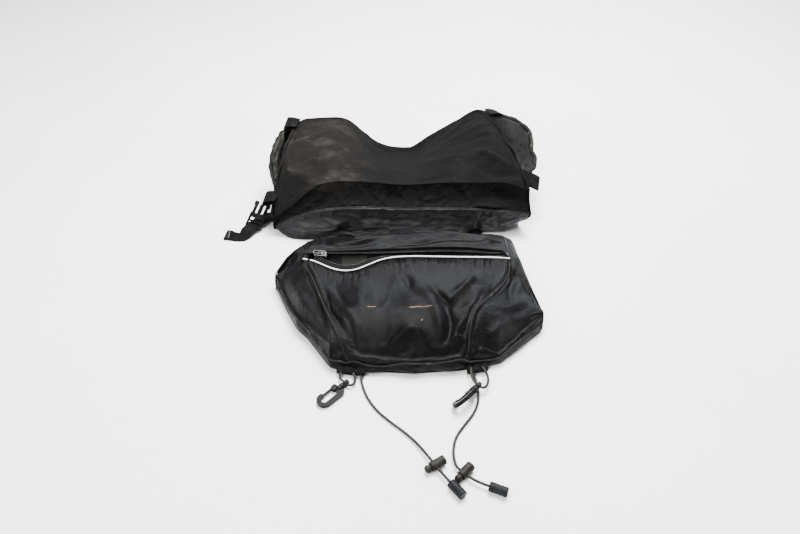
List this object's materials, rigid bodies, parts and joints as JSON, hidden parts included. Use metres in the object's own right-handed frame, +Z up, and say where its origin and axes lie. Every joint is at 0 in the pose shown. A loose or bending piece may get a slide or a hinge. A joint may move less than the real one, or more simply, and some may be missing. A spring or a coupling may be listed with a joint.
{
  "type": "pannier bag",
  "caption": "Saddle-shaped soft bag with open end pockets and a zipped pouch linked to its front edge, with buckle strap, bungee cords, cord locks and snap hooks.",
  "frame": {"origin": "middle of the saddle bag's base, on the surface it lies on", "axes": "+X right along the bag's length, +Y from the pouch towards the bag's rear edge, +Z up"},
  "size_m": [0.5481, 0.7059, 0.131],
  "materials": {
    "woven_cover": "matt woven polyester, dusty",
    "pocket_cloth": "matt padded lining cloth",
    "coated_cloth": "coated nylon, slightly glossy",
    "webbing": "ribbed webbing",
    "zip_tape": "woven zip tape",
    "stiffener": "sheet plastic",
    "foam": "soft foam",
    "reflective": "light retroreflective piping",
    "zip_coil": "moulded coil",
    "zip_metal": "plated slider and ring",
    "pull_tab": "soft moulded tab",
    "elastic_cord": "braided sheath",
    "moulded_plastic": "moulded acetal",
    "spring_steel": "plain wire"
  },
  "bodies": {
    "saddle_bag": {"saddle_lower_front": "coated_cloth", "saddle_front_gusset": "woven_cover", "saddle_cover": "woven_cover", "saddle_back_panel": "woven_cover", "saddle_base_panel": "coated_cloth", "saddle_base_board": "stiffener", "lobe_pads": "foam", "saddle_end_wall_left": "woven_cover", "saddle_end_wall_right": "woven_cover", "end_pocket_left": "pocket_cloth", "end_pocket_right": "pocket_cloth", "pocket_binding_left": "webbing", "pocket_binding_right": "webbing", "webbing_tab_front_left": "webbing", "webbing_tab_front_right": "webbing", "webbing_tab_rear_left": "webbing", "webbing_tab_rear_right": "webbing", "buckle_strap": "webbing", "corner_strip": "webbing"},
    "buckle": {"buckle_male_half": "moulded_plastic"},
    "pouch": {"pouch_bottom_band": "coated_cloth", "pouch_front_panel": "coated_cloth", "pouch_top_panel": "coated_cloth", "pouch_rear_gusset": "coated_cloth", "pouch_back_panel": "coated_cloth", "pouch_wing_left": "coated_cloth", "pouch_wing_right": "coated_cloth", "pouch_board": "stiffener", "reflective_piping": "reflective", "zip_tapes": "zip_tape", "zip_coils": "zip_coil", "zip_stops": "zip_coil", "link_strap_left": "webbing", "link_strap_right": "webbing", "cord_tab_left": "webbing", "cord_tab_right": "webbing", "bungee_tail_left": "elastic_cord", "bungee_tail_right": "elastic_cord", "hook_loop_left": "elastic_cord", "hook_loop_right": "elastic_cord", "cord_cap_left": "moulded_plastic", "cord_cap_right": "moulded_plastic", "hook_eye_left": "moulded_plastic", "hook_eye_right": "moulded_plastic"},
    "zip_slider": {"zip_slider": "zip_metal"},
    "zip_pull": {"zip_pull_ring": "zip_metal", "zip_pull_tab": "pull_tab"},
    "cord_lock_left": {"cord_lock_left": "moulded_plastic", "lock_spring_left": "spring_steel"},
    "lock_button_left": {"lock_button_left": "moulded_plastic"},
    "snap_hook_left": {"snap_hook_left": "moulded_plastic"},
    "hook_gate_left": {"hook_gate_left": "moulded_plastic"},
    "cord_lock_right": {"cord_lock_right": "moulded_plastic", "lock_spring_right": "spring_steel"},
    "lock_button_right": {"lock_button_right": "moulded_plastic"},
    "snap_hook_right": {"snap_hook_right": "moulded_plastic"},
    "hook_gate_right": {"hook_gate_right": "moulded_plastic"}
  },
  "joints": [
    {"name": "pouch_fold", "type": "hinge", "parent": "saddle_bag", "child": "pouch", "pos_m": [0, -0.125, 0.007], "axis": [1, 0, 0], "range_deg": [-70, 90], "deforming": ["link_strap_left", "link_strap_right"]},
    {"name": "buckle_slide", "type": "slide", "parent": "saddle_bag", "child": "buckle", "axis": [-0.4983, -0.867, 0], "range_m": [-0.008, 0.01]},
    {"name": "zip_slide", "type": "slide", "parent": "pouch", "child": "zip_slider", "axis": [1, 0, 0], "range_m": [0, 0.27]},
    {"name": "zip_pull_flip", "type": "hinge", "parent": "zip_slider", "child": "zip_pull", "pos_m": [-0.1219, -0.222, 0.0615], "axis": [0, 1, 0], "range_deg": [0, 180]},
    {"name": "cord_lock_slide_left", "type": "slide", "parent": "pouch", "child": "cord_lock_left", "axis": [0.5506, -0.8348, 0], "range_m": [-0.008, 0.003]},
    {"name": "lock_button_press_left", "type": "slide", "parent": "cord_lock_left", "child": "lock_button_left", "axis": [0.8348, 0.5506, 0], "range_m": [0, 0.003], "stiffness_N_per_m": 300, "deforming": ["lock_spring_left"]},
    {"name": "cord_lock_slide_right", "type": "slide", "parent": "pouch", "child": "cord_lock_right", "axis": [0.7282, -0.6854, 0], "range_m": [-0.004, 0.004]},
    {"name": "lock_button_press_right", "type": "slide", "parent": "cord_lock_right", "child": "lock_button_right", "axis": [0.6854, 0.7282, 0], "range_m": [0, 0.003], "stiffness_N_per_m": 300, "deforming": ["lock_spring_right"]},
    {"name": "hook_swivel_left", "type": "hinge", "parent": "pouch", "child": "snap_hook_left", "pos_m": [-0.07275, -0.433, 0.005], "axis": [-0.6892, -0.7237, -0.0349], "continuous": true},
    {"name": "hook_gate_left_open", "type": "hinge", "parent": "snap_hook_left", "child": "hook_gate_left", "pos_m": [-0.08988, -0.44084, 0.00439], "axis": [-0.0241, -0.0253, 0.9994], "range_deg": [0, 26], "stiffness_Nm_per_rad": 0.03},
    {"name": "hook_swivel_right", "type": "hinge", "parent": "pouch", "child": "snap_hook_right", "pos_m": [0.104, -0.4415, 0.0106], "axis": [-0.7071, -0.7071, 0], "continuous": true},
    {"name": "hook_gate_right_open", "type": "hinge", "parent": "snap_hook_right", "child": "hook_gate_right", "pos_m": [0.08844, -0.45069, 0.00524], "axis": [-0.5417, 0.5417, 0.6428], "range_deg": [0, 26], "stiffness_Nm_per_rad": 0.03}
  ]
}
